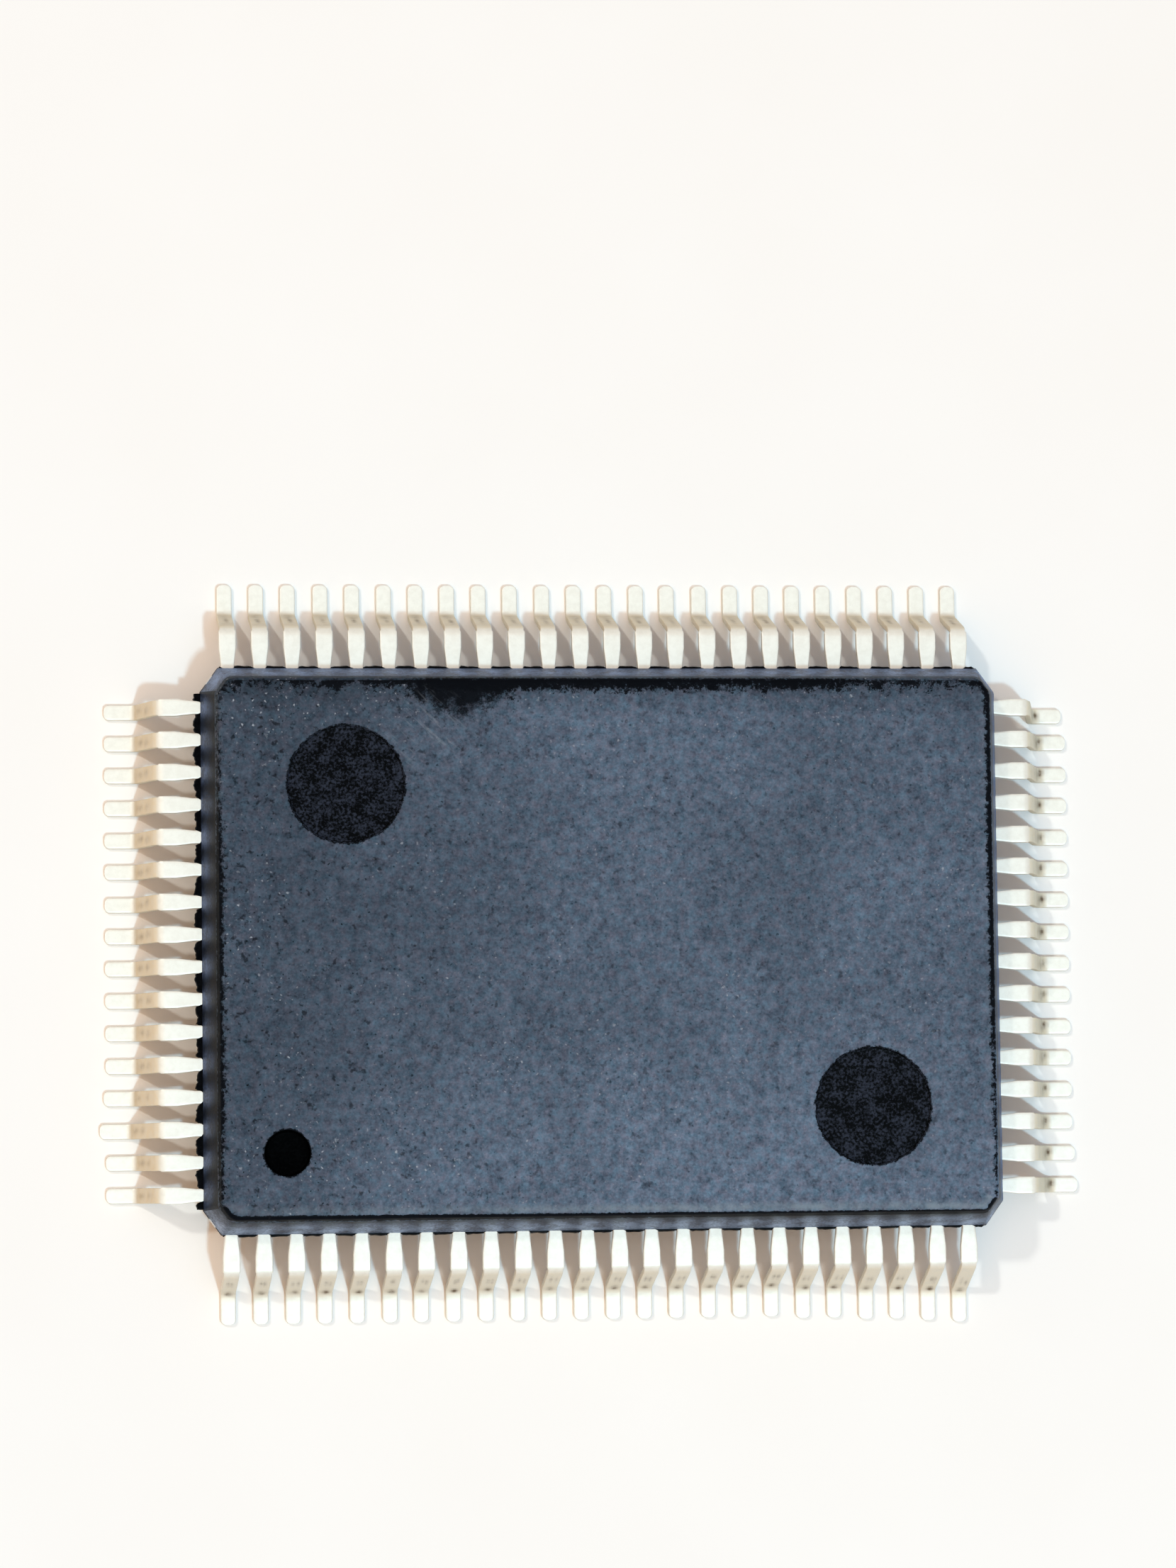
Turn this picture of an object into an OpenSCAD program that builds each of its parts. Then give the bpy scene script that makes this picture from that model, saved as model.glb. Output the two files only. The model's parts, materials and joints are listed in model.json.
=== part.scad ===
// Integrated circuit in a plastic quad flat package, with gull-wing leads on all four sides.
// A stamped lead frame carries the silicon die, fine wires join the die to the leads, and the
// body is moulded round them. Sizes are in millimetres. The origin is the centre of the footprint
// on the board, +X runs along the long side and +Z points up. Leads are counted anticlockwise,
// seen from above, from the left end of the front (-Y) side, where the body has its dimple.

/* [Moulded body] */
// Length of the body at its parting line
body_l = 20; // [15:0.1:26]
// Width of the body at its parting line
body_w = 14; // [11:0.1:20]
// Thickness of the body
body_t = 2.7; // [2:0.05:3.4]
// Gap between the board and the underside of the body
standoff = 0.1; // [0.05:0.05:0.4]
// How far the top and bottom faces stand in from the parting line
draft_inset = 0.4; // [0.1:0.05:0.6]
// Corner chamfer at the parting line, measured along X
corner_x = 0.45; // [0.2:0.05:0.55]
// Corner chamfer at the parting line, measured along Y
corner_y = 0.62; // [0.2:0.02:0.7]
// Radius of the edges round the top and bottom faces
edge_r = 0.12; // [0.04:0.01:0.2]
// How far along X the body was moulded off the middle of the lead frame
mould_shift = 0.1; // [-0.1:0.01:0.1]

/* [Marks on the top face] */
// Diameter of the two ejector marks
ejector_d = 2.85; // [1:0.05:3.5]
// Depth of the ejector marks
ejector_depth = 0.06; // [0.02:0.01:0.2]
// From the end of the body to the centre of an ejector mark
ejector_from_end = 3.5; // [2.5:0.1:5]
// From the long side of the body to the centre of an ejector mark
ejector_from_side = 3; // [2.5:0.1:4]
// Diameter of the dimple beside the first lead
dimple_d = 1.08; // [0.6:0.02:1.6]
// Depth of the dimple
dimple_depth = 0.15; // [0.05:0.01:0.3]
// From the two nearest edges of the body to the centre of the dimple
dimple_from_edge = 2; // [1.4:0.1:2.4]

/* [Leads outside the body] */
// Distance between neighbouring leads, as many of which as fit stand on each side
pitch = 0.8; // [0.7:0.05:1.2]
// Least distance from the centre of the last lead in a row to the corner of the body
row_margin = 0.8; // [0.7:0.05:1.5]
// Thickness of the lead frame's sheet
lead_t = 0.15; // [0.1:0.01:0.25]
// Width of a lead on its slope and foot
lead_w = 0.38; // [0.2:0.01:0.45]
// Width of a lead where it leaves the body
neck_w = 0.33; // [0.2:0.01:0.4]
// Straight stretch of that neck outside the body
neck_len = 0.06; // [0.04:0.01:0.15]
// How far the sheared stubs of the dam bar stand out on each edge of a lead
dam_stub = 0.025; // [0.01:0.005:0.1]
// From the body to the dam bar's stubs, which the neck widens to
dam_from = 0.5; // [0.25:0.05:0.6]
// Length of the dam bar's stubs along the lead
dam_len = 0.4; // [0.2:0.05:0.5]
// How far the leads stand out from the body
stand_out = 2.2; // [1.9:0.05:2.8]
// Length of the shoulder, from the body to the corner of the upper bend
shoulder = 0.95; // [0.85:0.05:1.2]
// Length of the foot, from the corner of the lower bend to the tip
foot = 0.8; // [0.5:0.05:0.9]
// Inside radius of both bends
bend_r = 0.16; // [0.08:0.01:0.25]
// Corner radius at the tip of a foot
tip_r = 0.12; // [0.05:0.01:0.15]

/* [Lead frame inside the body] */
// Distance between neighbouring leads at their inner tips
tip_pitch = 0.38; // [0.3:0.01:0.45]
// Width of an inner tip, measured along its row
tip_w = 0.19; // [0.12:0.01:0.22]
// Straight stretch of each lead just inside the body
root_straight = 0.2; // [0.1:0.05:0.3]
// Gap between the die pad and the inner tips
tip_gap = 0.35; // [0.25:0.05:0.6]
// How far the die pad reaches past the last inner tips along X
pad_end = 0.13; // [0.1:0.01:0.2]
// How far the die pad reaches past the last inner tips along Y
pad_side = 0.35; // [0.3:0.05:0.45]
// How far the die pad lies below the leads
down_set = 0.25; // [0.16:0.01:0.4]
// Width of the bars that tie the die pad to the corners
tie_w = 0.26; // [0.15:0.01:0.3]

/* [Die and wires] */
// Length of the die along X
die_l = 6; // [4:0.1:7.5]
// Width of the die along Y
die_w = 4.4; // [3:0.1:5]
// Thickness of the die
die_t = 0.35; // [0.2:0.01:0.45]
// Thickness of the adhesive under the die
attach_t = 0.03; // [0.02:0.01:0.06]
// From the edge of the die to the row of bonds along it
bond_inset = 0.12; // [0.08:0.01:0.2]
// From the corner of the die to the first and last bond of a row
bond_corner = 0.5; // [0.3:0.05:0.8]
// Thickness of a wire
wire_t = 0.03; // [0.02:0.005:0.05]
// Height of a wire's loop above the die
loop_h = 0.2; // [0.12:0.01:0.35]
// Width of the squashed ball that starts a wire
ball_w = 0.08; // [0.06:0.005:0.1]
// Height of that ball
ball_h = 0.03; // [0.02:0.005:0.05]
// Length of wire pressed flat on the lead
stitch = 0.1; // [0.06:0.01:0.15]

/* [Bent leads] */
// Unit in which the bent leads are out of line
knock = 0.05; // [0:0.01:0.08]

/* [Hidden] */
// Bent leads: side, place counted back from the end of its row, and the foot's shift along the row
// and outwards, in knocks
bent_leads = [
    [0, 0, 0, 4], [0, 1, 0, 3], [0, 2, 0, 2], [0, 3, 0, 2], [0, 4, 0, 1], [0, 5, 0, 1],
    [1, 15, 0, 2], [1, 14, 0, 1], [1, 0, -2, -2],
    [3, 3, 0, 1], [3, 2, 0, 3]
];
// The leads and wires of a side are drawn in this many groups of neighbours
long_banks = 3;
short_banks = 2;
// Flat steps in each lead bend, each rounded corner of a foot and each rounded edge of the body
bend_steps = 6;
tip_steps = 4;
edge_steps = 4;
// Share of a wire's run that stays level before it slopes down to its lead
loop_flat = 0.3;
// Length by which a cutting shape passes the face that it cuts
clear = 1;
// Share of a pitch by which a row may fall short of its last lead through rounding
count_slack = 0.001;

body_top = standoff + body_t;
parting_z = standoff + body_t / 2;
function row_count(length) = 1 + floor((length - 2 * row_margin) / pitch + count_slack);
long_pins = row_count(body_l);
short_pins = row_count(body_w);

pad_l = (long_pins - 1) * tip_pitch + 2 * pad_end;
pad_w = (short_pins - 1) * tip_pitch + 2 * pad_side;
pad_top = parting_z + lead_t / 2 - down_set;
die_floor = pad_top + attach_t;
die_top = die_floor + die_t;
lead_top = parting_z + lead_t / 2;

// Each side is drawn as the front one and turned into place. A bank is a side and a group of its leads,
// and a pin is a side and a place in its row, counted from 0.
sides = ["front", "right", "rear", "left"];
function side_pins(side) = side % 2 == 0 ? long_pins : short_pins;
function side_banks(side) = side % 2 == 0 ? long_banks : short_banks;
function bank_start(side, group) = floor(side_pins(side) * group / side_banks(side));
function bank_pins(bank) =
    [for (place = [bank_start(bank[0], bank[1]) : bank_start(bank[0], bank[1] + 1) - 1]) [bank[0], place]];
function bank_name(what, bank) = str(sides[bank[0]], "_", what, "_", bank[1] + 1);
banks = [for (side = [0 : 3]) for (group = [0 : side_banks(side) - 1]) [side, group]];
all_pins = [for (side = [0 : 3]) for (place = [0 : side_pins(side) - 1]) [side, place]];

function wall_of(side) = (side % 2 == 0 ? body_w : body_l) / 2;
function tip_wall_of(side) = (side % 2 == 0 ? pad_w : pad_l) / 2 + tip_gap;
function die_wall_of(side) = (side % 2 == 0 ? die_w : die_l) / 2;
function bond_span_of(side) = (side % 2 == 0 ? die_l : die_w) - 2 * bond_corner;

// Place of a lead in its row, counted from the middle of the row
function row_place(pin) = pin[1] - (side_pins(pin[0]) - 1) / 2;
function exit_u(pin) = row_place(pin) * pitch;
function tip_shift(pin) = row_place(pin) * (tip_pitch - pitch);
function inner_depth(pin) = wall_of(pin[0]) - tip_wall_of(pin[0]);
function bond_u(pin) = row_place(pin) * bond_span_of(pin[0]) / (side_pins(pin[0]) - 1);

// Shift of a lead's foot along its row and outwards
function bend_of(pin) = concat(
    [
        for (bent = bent_leads)
            if (pin == [bent[0], side_pins(bent[0]) - 1 - bent[1]])
                knock * [bent[2], bent[3]]
    ],
    [[0, 0]]
)[0];

function arc(centre, r, from, to, steps) =
    [for (i = [0 : steps]) let (a = from + (to - from) * i / steps) centre + r * [cos(a), sin(a)]];

// Side view of a formed lead, as [distance out from the body, height]: shoulder, slope and foot
function formed_profile(reach) =
    let (
        r = bend_r + lead_t / 2,
        heel_out = stand_out + reach - foot,
        fall = parting_z - lead_t / 2,
        slope = atan2(fall, heel_out - shoulder),
        tangent = r * tan(slope / 2),
        upper = [shoulder - tangent, parting_z - r],
        lower = [heel_out + tangent, lead_t / 2 + r],
        inner_end = -max(body_l, body_w) / 2
    )
    concat(
        [[inner_end, lead_top]],
        arc(upper, r + lead_t / 2, 90, 90 - slope, bend_steps),
        arc(lower, r - lead_t / 2, -90 - slope, -90, bend_steps),
        [[stand_out + reach + clear, lead_t], [stand_out + reach + clear, 0]],
        arc(lower, r + lead_t / 2, -90, -90 - slope, bend_steps),
        arc(upper, r - lead_t / 2, 90 - slope, 90, bend_steps),
        [[inner_end, lead_top - lead_t]]
    );

// The stamped outline of a lead in the plane of the sheet, as [along the row, in from the body's wall].
// Edge is 1 for its right edge and -1 for its left one. The inner part runs from the inner tip through
// the wall to the dam bar's stub, and the outer part from there to the rounded end of the foot.
function inner_edge(edge, pin) = [
    [edge * tip_w / 2 + tip_shift(pin), inner_depth(pin)],
    [edge * neck_w / 2, root_straight],
    [edge * neck_w / 2, -neck_len],
    [edge * (lead_w / 2 + dam_stub), -dam_from]
];

function outer_edge(edge, skew, reach) =
    let (
        half = lead_w / 2,
        dam_end = dam_from + dam_len,
        tip_out = stand_out + reach,
        corner = [edge * (half - tip_r) + skew, tip_r - tip_out]
    )
    concat(
        [
            [edge * (half + dam_stub), dam_stub - dam_end],
            [edge * half, -dam_end],
            [edge * half + skew, foot - tip_out]
        ],
        arc(corner, tip_r, 270 + 90 * edge, 270, tip_steps)
    );

function reversed(points) = [for (i = [len(points) - 1 : -1 : 0]) points[i]];

module at_lead(pin) {
    rotate([0, 0, 90 * pin[0]])
        translate([exit_u(pin), -wall_of(pin[0]), 0])
            children();
}

// A lead is the flat stamped outline, given its side profile by forming.
module lead(pin) {
    bend = bend_of(pin);
    plan = concat(
        inner_edge(1, pin),
        outer_edge(1, bend[0], bend[1]),
        reversed(concat(inner_edge(-1, pin), outer_edge(-1, bend[0], bend[1])))
    );
    at_lead(pin)
        intersection() {
            translate([0, 0, -clear])
                linear_extrude(lead_top + 2 * clear)
                    polygon(plan);
            rotate([90, 0, -90])
                linear_extrude(2 * (abs(tip_shift(pin)) + pitch), center = true)
                    polygon(formed_profile(bend[1]));
        }
}

// The room that a lead takes up in the moulding
module lead_slot(pin) {
    plan = concat(inner_edge(1, pin), reversed(inner_edge(-1, pin)));
    at_lead(pin)
        translate([0, 0, lead_top - lead_t])
            linear_extrude(lead_t)
                polygon(plan);
}

module leads(bank) {
    color("gainsboro")
        for (pin = bank_pins(bank))
            lead(pin);
}

// A wire stands on the die in a squashed ball, loops up and out, and is pressed flat on its lead.
module bond_wire(pin) {
    side = pin[0];
    start = [bond_u(pin), bond_inset - die_wall_of(side)];
    // The wire lands on the middle of its lead, a stitch's length back from the inner tip.
    landing = inner_depth(pin) - stitch - wire_t;
    along_lead = (landing - root_straight) / (inner_depth(pin) - root_straight);
    end = [exit_u(pin) + tip_shift(pin) * along_lead, landing - wall_of(side)];
    run = norm(end - start);
    fall = die_top - lead_top;
    loop = [
        [-wire_t / 2, ball_h / 2],
        [-wire_t / 2, loop_h],
        [run * loop_flat, loop_h],
        [run - stitch, wire_t - fall],
        [run, wire_t / 2 - fall],
        [run, -fall],
        [run - stitch, -fall],
        [run * loop_flat - wire_t / 2, loop_h - wire_t],
        [wire_t / 2, loop_h - wire_t],
        [wire_t / 2, ball_h / 2]
    ];
    rotate([0, 0, 90 * side])
        translate([start[0], start[1], die_top])
            rotate([0, 0, atan2(end[1] - start[1], end[0] - start[0])]) {
                cylinder(d = ball_w, h = ball_h, $fn = 8);
                rotate([90, 0, 0])
                    linear_extrude(wire_t, center = true)
                        polygon(loop);
            }
}

module bond_wires(bank) {
    color("goldenrod")
        for (pin = bank_pins(bank))
            bond_wire(pin);
}

module centred_plate(l, w, from_z, t) {
    translate([-l / 2, -w / 2, from_z])
        cube([l, w, t]);
}

// Section of the moulding between two opposite walls, drafted both ways from the parting line,
// with rounded edges round the top and bottom faces
module drafted_section(half, span) {
    draft = atan2(draft_inset, body_t / 2);
    edge_out = half - draft_inset - edge_r * tan((90 - draft) / 2);
    section = concat(
        [[half, parting_z]],
        arc([edge_out, body_top - edge_r], edge_r, draft, 90, edge_steps),
        arc([-edge_out, body_top - edge_r], edge_r, 90, 180 - draft, edge_steps),
        [[-half, parting_z]],
        arc([-edge_out, standoff + edge_r], edge_r, 180 + draft, 270, edge_steps),
        arc([edge_out, standoff + edge_r], edge_r, 270, 360 - draft, edge_steps)
    );
    rotate([90, 0, 0])
        linear_extrude(span, center = true)
            polygon(section);
}

// The moulding's outside: the sections between its ends, its long sides and its opposite corners
module moulding() {
    span = 2 * (body_l + body_w);
    corner_turn = atan2(corner_x, corner_y);
    corner_half = cos(corner_turn) * (body_l / 2 - corner_x) + sin(corner_turn) * body_w / 2;
    translate([mould_shift, 0, 0])
        intersection() {
            drafted_section(body_l / 2, span);
            rotate([0, 0, 90])
                drafted_section(body_w / 2, span);
            rotate([0, 0, corner_turn])
                drafted_section(corner_half, span);
            rotate([0, 0, -corner_turn])
                drafted_section(corner_half, span);
        }
}

// Two ejector marks at opposite corners, and the dimple that marks the first lead
module top_marks() {
    ejector = [body_l / 2 - ejector_from_end, body_w / 2 - ejector_from_side];
    translate([mould_shift, 0, body_top]) {
        for (place = [[-ejector[0], ejector[1]], [ejector[0], -ejector[1]]])
            translate([place[0], place[1], -ejector_depth])
                cylinder(d = ejector_d, h = ejector_depth + clear, $fn = 64);
        translate([dimple_from_edge - body_l / 2, dimple_from_edge - body_w / 2, -dimple_depth])
            cylinder(d = dimple_d, h = dimple_depth + clear, $fn = 48);
    }
}

module moulded_body() {
    color("darkslategray")
        difference() {
            moulding();
            top_marks();
            for (pin = all_pins)
                lead_slot(pin);
            die_pad();
            die_attach();
            die();
            for (pin = all_pins)
                bond_wire(pin);
        }
}

// A bar from a corner of the die pad up to the level of the leads and out to the body's corner
module tie_bar(across, along) {
    from = [across * (pad_l / 2 - tie_w), along * (pad_w / 2 - tie_w)];
    to = [across * (body_l - corner_x) / 2 + mould_shift, along * (body_w - corner_y) / 2];
    length = norm(to - from) + clear;
    rise_from = 2 * tie_w;
    rise_to = rise_from + 2 * down_set;
    profile = [
        [0, pad_top],
        [rise_from, pad_top],
        [rise_to, lead_top],
        [length, lead_top],
        [length, lead_top - lead_t],
        [rise_to, lead_top - lead_t],
        [rise_from, pad_top - lead_t],
        [0, pad_top - lead_t]
    ];
    translate([from[0], from[1], 0])
        rotate([90, 0, atan2(to[1] - from[1], to[0] - from[0])])
            linear_extrude(tie_w, center = true)
                polygon(profile);
}

// The tie bars are sheared off flush with the body's corners.
module die_pad() {
    color("silver")
        intersection() {
            union() {
                centred_plate(pad_l, pad_w, pad_top - lead_t, lead_t);
                for (across = [-1, 1])
                    for (along = [-1, 1])
                        tie_bar(across, along);
            }
            moulding();
        }
}

module die_attach() {
    color("dimgray")
        centred_plate(die_l, die_w, pad_top, attach_t);
}

module die() {
    color("slategray")
        centred_plate(die_l, die_w, die_floor, die_t);
}

moulded_body();
die_pad();
die_attach();
die();
for (bank = banks) {
    leads(bank);
    bond_wires(bank);
}
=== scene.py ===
import json
import math

import bpy
import numpy as np
from mathutils import Matrix, Vector
from mathutils.geometry import delaunay_2d_cdt

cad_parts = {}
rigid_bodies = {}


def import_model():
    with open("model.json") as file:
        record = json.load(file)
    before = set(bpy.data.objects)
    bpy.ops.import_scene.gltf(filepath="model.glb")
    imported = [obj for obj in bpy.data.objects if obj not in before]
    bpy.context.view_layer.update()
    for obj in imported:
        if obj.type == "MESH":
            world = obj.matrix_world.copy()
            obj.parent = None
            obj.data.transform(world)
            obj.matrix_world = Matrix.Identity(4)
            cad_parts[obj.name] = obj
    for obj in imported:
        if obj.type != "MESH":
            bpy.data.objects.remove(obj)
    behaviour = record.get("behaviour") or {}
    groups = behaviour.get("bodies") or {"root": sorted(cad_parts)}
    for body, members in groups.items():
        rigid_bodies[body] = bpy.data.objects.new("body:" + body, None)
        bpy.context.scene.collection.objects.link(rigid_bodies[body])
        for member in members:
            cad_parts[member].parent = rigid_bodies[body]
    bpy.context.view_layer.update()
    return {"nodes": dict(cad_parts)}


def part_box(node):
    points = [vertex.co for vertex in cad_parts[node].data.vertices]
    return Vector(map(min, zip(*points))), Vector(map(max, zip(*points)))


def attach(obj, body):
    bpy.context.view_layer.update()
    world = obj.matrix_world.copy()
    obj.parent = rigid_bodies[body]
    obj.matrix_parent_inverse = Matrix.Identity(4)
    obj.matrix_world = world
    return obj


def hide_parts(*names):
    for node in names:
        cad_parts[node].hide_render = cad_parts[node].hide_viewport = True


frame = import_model()
mm = 0.001  # the dictionaries below are in millimetres, Blender is in metres
print("frame loaded:", len(frame["nodes"]), "nodes")


# Node helpers


def newMaterial(name, **sockets):
    material = bpy.data.materials.new(name)
    material.use_nodes = True
    shader = material.node_tree.nodes["Principled BSDF"]
    for key, value in sockets.items():
        shader.inputs[key.replace("_", " ")].default_value = value
    return material, material.node_tree, shader


def feed(tree, socket, value):
    # an output socket is linked, anything else is set
    if isinstance(value, bpy.types.NodeSocket):
        tree.links.new(value, socket)
    else:
        socket.default_value = value


def addNode(tree, kind, settings=None, **inputs):
    # keyword inputs are socket names with _ for a space
    node = tree.nodes.new("ShaderNode" + kind)
    for key, value in (settings or {}).items():
        setattr(node, key, value)
    for key, value in inputs.items():
        feed(tree, node.inputs[key.replace("_", " ")], value)
    return node


def objectPlace(tree):
    return addNode(tree, "TexCoord").outputs["Object"]


def attributeOf(tree, name):
    return addNode(tree, "Attribute", {"attribute_name": name}).outputs["Fac"]


def noiseOf(tree, place, grain, detail=2.0, roughness=0.5):
    # grain is the size of one blotch in millimetres
    node = addNode(tree, "TexNoise", Vector=place, Scale=1 / (grain * mm), Detail=detail, Roughness=roughness)
    return node.outputs["Fac"]


def mathOf(tree, operation, first, second=0.0):
    node = addNode(tree, "Math", {"operation": operation})
    feed(tree, node.inputs[0], first)
    feed(tree, node.inputs[1], second)
    return node.outputs[0]


def product(tree, first, *others):
    for value in others:
        first = mathOf(tree, "MULTIPLY", first, value)
    return first


def weighted(tree, *parts):
    # sum of the parts, each a value and its weight
    total = 0.0
    for value, weight in parts:
        total = mathOf(tree, "ADD", mathOf(tree, "MULTIPLY", value, weight), total)
    return total


def rangeOf(tree, value, fromLow, fromHigh, toLow=0.0, toHigh=1.0):
    # smooth step from one range to the other
    node = addNode(tree, "MapRange", {"interpolation_type": "SMOOTHSTEP"})
    for socket, given in zip(node.inputs, (value, fromLow, fromHigh, toLow, toHigh)):
        feed(tree, socket, given)
    return node.outputs[0]


def fadeOf(tree, distance, fade, shift=0.0):
    # fade is a start, an end, and the strength at each, with the places counted from shift
    start, end, strengthStart, strengthEnd = fade
    return rangeOf(tree, distance, (start + shift) * mm, (end + shift) * mm, strengthStart, strengthEnd)


def rampOf(tree, value, stops):
    node = addNode(tree, "ValToRGB", Fac=value)
    elements = node.color_ramp.elements
    while len(elements) < len(stops):
        elements.new(0.5)
    for element, (position, colour) in zip(elements, stops):
        element.position = position
        element.color = (*colour, 1)
    return node.outputs["Color"]


def glossOf(tree, value, ends, places=(0.3, 0.7)):
    # roughness that follows a noise from one end to the other
    return rampOf(tree, value, [(place, (end,) * 3) for place, end in zip(places, ends)])


def mixOf(tree, share, under, over, blend="MIX"):
    node = addNode(tree, "Mix", {"data_type": "RGBA", "blend_type": blend})
    feed(tree, node.inputs[0], share)
    for socket, colour in ((node.inputs[6], under), (node.inputs[7], over)):
        feed(tree, socket, colour if isinstance(colour, bpy.types.NodeSocket) else (*colour, 1))
    return node.outputs[2]


def scaleOf(tree, colour, factor):
    return addNode(tree, "VectorMath", {"operation": "SCALE"}, Vector=colour, Scale=factor).outputs[0]


def bumpOf(tree, shader, height, depth, strength):
    # depth is how far the relief stands out, in millimetres
    node = addNode(tree, "Bump", Height=height, Distance=depth * mm, Strength=strength)
    tree.links.new(node.outputs["Normal"], shader.inputs["Normal"])


def dress(tree, shader, colour, gloss):
    tree.links.new(colour, shader.inputs["Base Color"])
    tree.links.new(gloss, shader.inputs["Roughness"])


# Moulding compound: black resin full of pale filler grains, so a grained face looks slate grey, while the
# polished marks stay black and painted shade blackens the band along the edges of the top face

compound = {
    "gleam": 0.03,  # specular level
    "grain": 0.06,  # sizes of the blotches, from the finest up
    "fleck": 0.13,
    "patch": 0.32,
    "cloud": 3.6,
    "shares": (0.34, 0.30, 0.36),  # of grain, fleck and patch in the pattern
    "dark": (0.021, 0.033, 0.052),
    "light": (0.140, 0.187, 0.254),
    "black": (0.001, 0.0015, 0.003),
    "hue": ((0.87, 1.03, 1.06), (1.14, 0.96, 0.96)),  # the grain strays between these two casts
    "hueSize": 0.2,
    # fades: start, end, strength at each; painted shade makes the ends darker than the middle, and painted
    # light makes the front edge paler
    "leftPaintedShade": (-9.5, 0.5, 0.61, 1.0),  # along x
    "rightPaintedShade": (4.5, 9.5, 1.0, 0.97),
    "frontPaintedLight": (-7.0, -1.0, 1.28, 1.0),  # along y
    "rearPaintedShade": (-1.0, -0.05, 1.0, 0.62),  # along y from the rear edge
    "topFace": (-0.02, -0.005, 0.0, 1.0),  # along z from the top
    "wear": (-9.5, 0.5, 1.0, 0.6),  # dust and pits, along x
    "edgeHighlightFade": (-9.0, 4.0, 0.25, 0.8),  # strength of the painted highlight, along x
    "cloudTone": (0.88, 1.12),
    "dust": (0.34, 0.38, 0.43),
    "dustCluster": 1.7,
    # small and large spots: size, detail and roughness of a noise, two of its levels, strength at each
    "dustSpots": (((0.10, 1.0, 0.4), (0.66, 0.80, 0.0, 1.0)), ((0.19, 3.0, 0.6), (0.66, 0.78, 0.0, 1.0))),
    "pitSpots": (((0.10, 1.0, 0.4), (0.22, 0.32, 0.9, 0.0)), ((0.17, 2.0, 0.5), (0.26, 0.40, 0.75, 0.0))),
    "shadePatchPlace": (-3.55, 1.85),  # middle and half length along x of the painted shade patch by the rear edge
    "shadePatchDepth": (1.0, 0.2),  # at its middle and past its ends
    "shadePatchTear": (0.3, 2.0),  # size and reach of its torn border
    "scuffPlace": (-4.4, 5.3),
    "scuffFade": (0.3, 1.4, 0.2, 0.0),  # from that place
    "scuffSlant": -43,
    "scuffStretch": (5.0, 0.7, 1.0),
    "scuffSize": 0.2,
    # colour of the painted highlight inside the edges of the top face
    "edgeHighlightColour": (0.20, 0.25, 0.29),
    "shadeAndRimTear": (0.11, 1.6),  # size and reach of the ragged border of the painted edge shade and of the mark rims
    "gloss": (0.42, 0.56),
    "relief": 0.006,
    "wallGleam": 0.06,
    "wallPatch": 0.4,
    "wallShares": (0.4, 0.6),  # of grain and patch
    "wallDark": (0.064, 0.080, 0.114),
    "wallLight": (0.176, 0.226, 0.316),
    "wallCast": (0.78, 0.96, 1.30),
    "wallGloss": (0.34, 0.48),
    "wallRelief": 0.005,
    # polished places: specular level, dark, light
    "tornResin": (0.02, (0.0005, 0.0005, 0.001), (0.002, 0.0025, 0.0035)),
    "ejectorMark": (0.03, (0.0003, 0.0005, 0.001), (0.024, 0.030, 0.046)),
    # darker than the ejector marks: painted shade in the hollow of the dimple
    "dimple": (0.005, (0.0002, 0.0003, 0.0004), (0.001, 0.0013, 0.0016)),
    "speckle": ((0.07, 0.6), (0.26, 0.4)),  # size and share of the fine and the coarse one
    "polishBloom": 0.5,
    "polishGloss": (0.30, 0.42),
    "polishRelief": 0.0015,
}


def spotsOf(tree, place, spots):
    small, large = (rangeOf(tree, noiseOf(tree, place, *noise), *levels) for noise, levels in spots)
    return mathOf(tree, "MAXIMUM", small, large)


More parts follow.
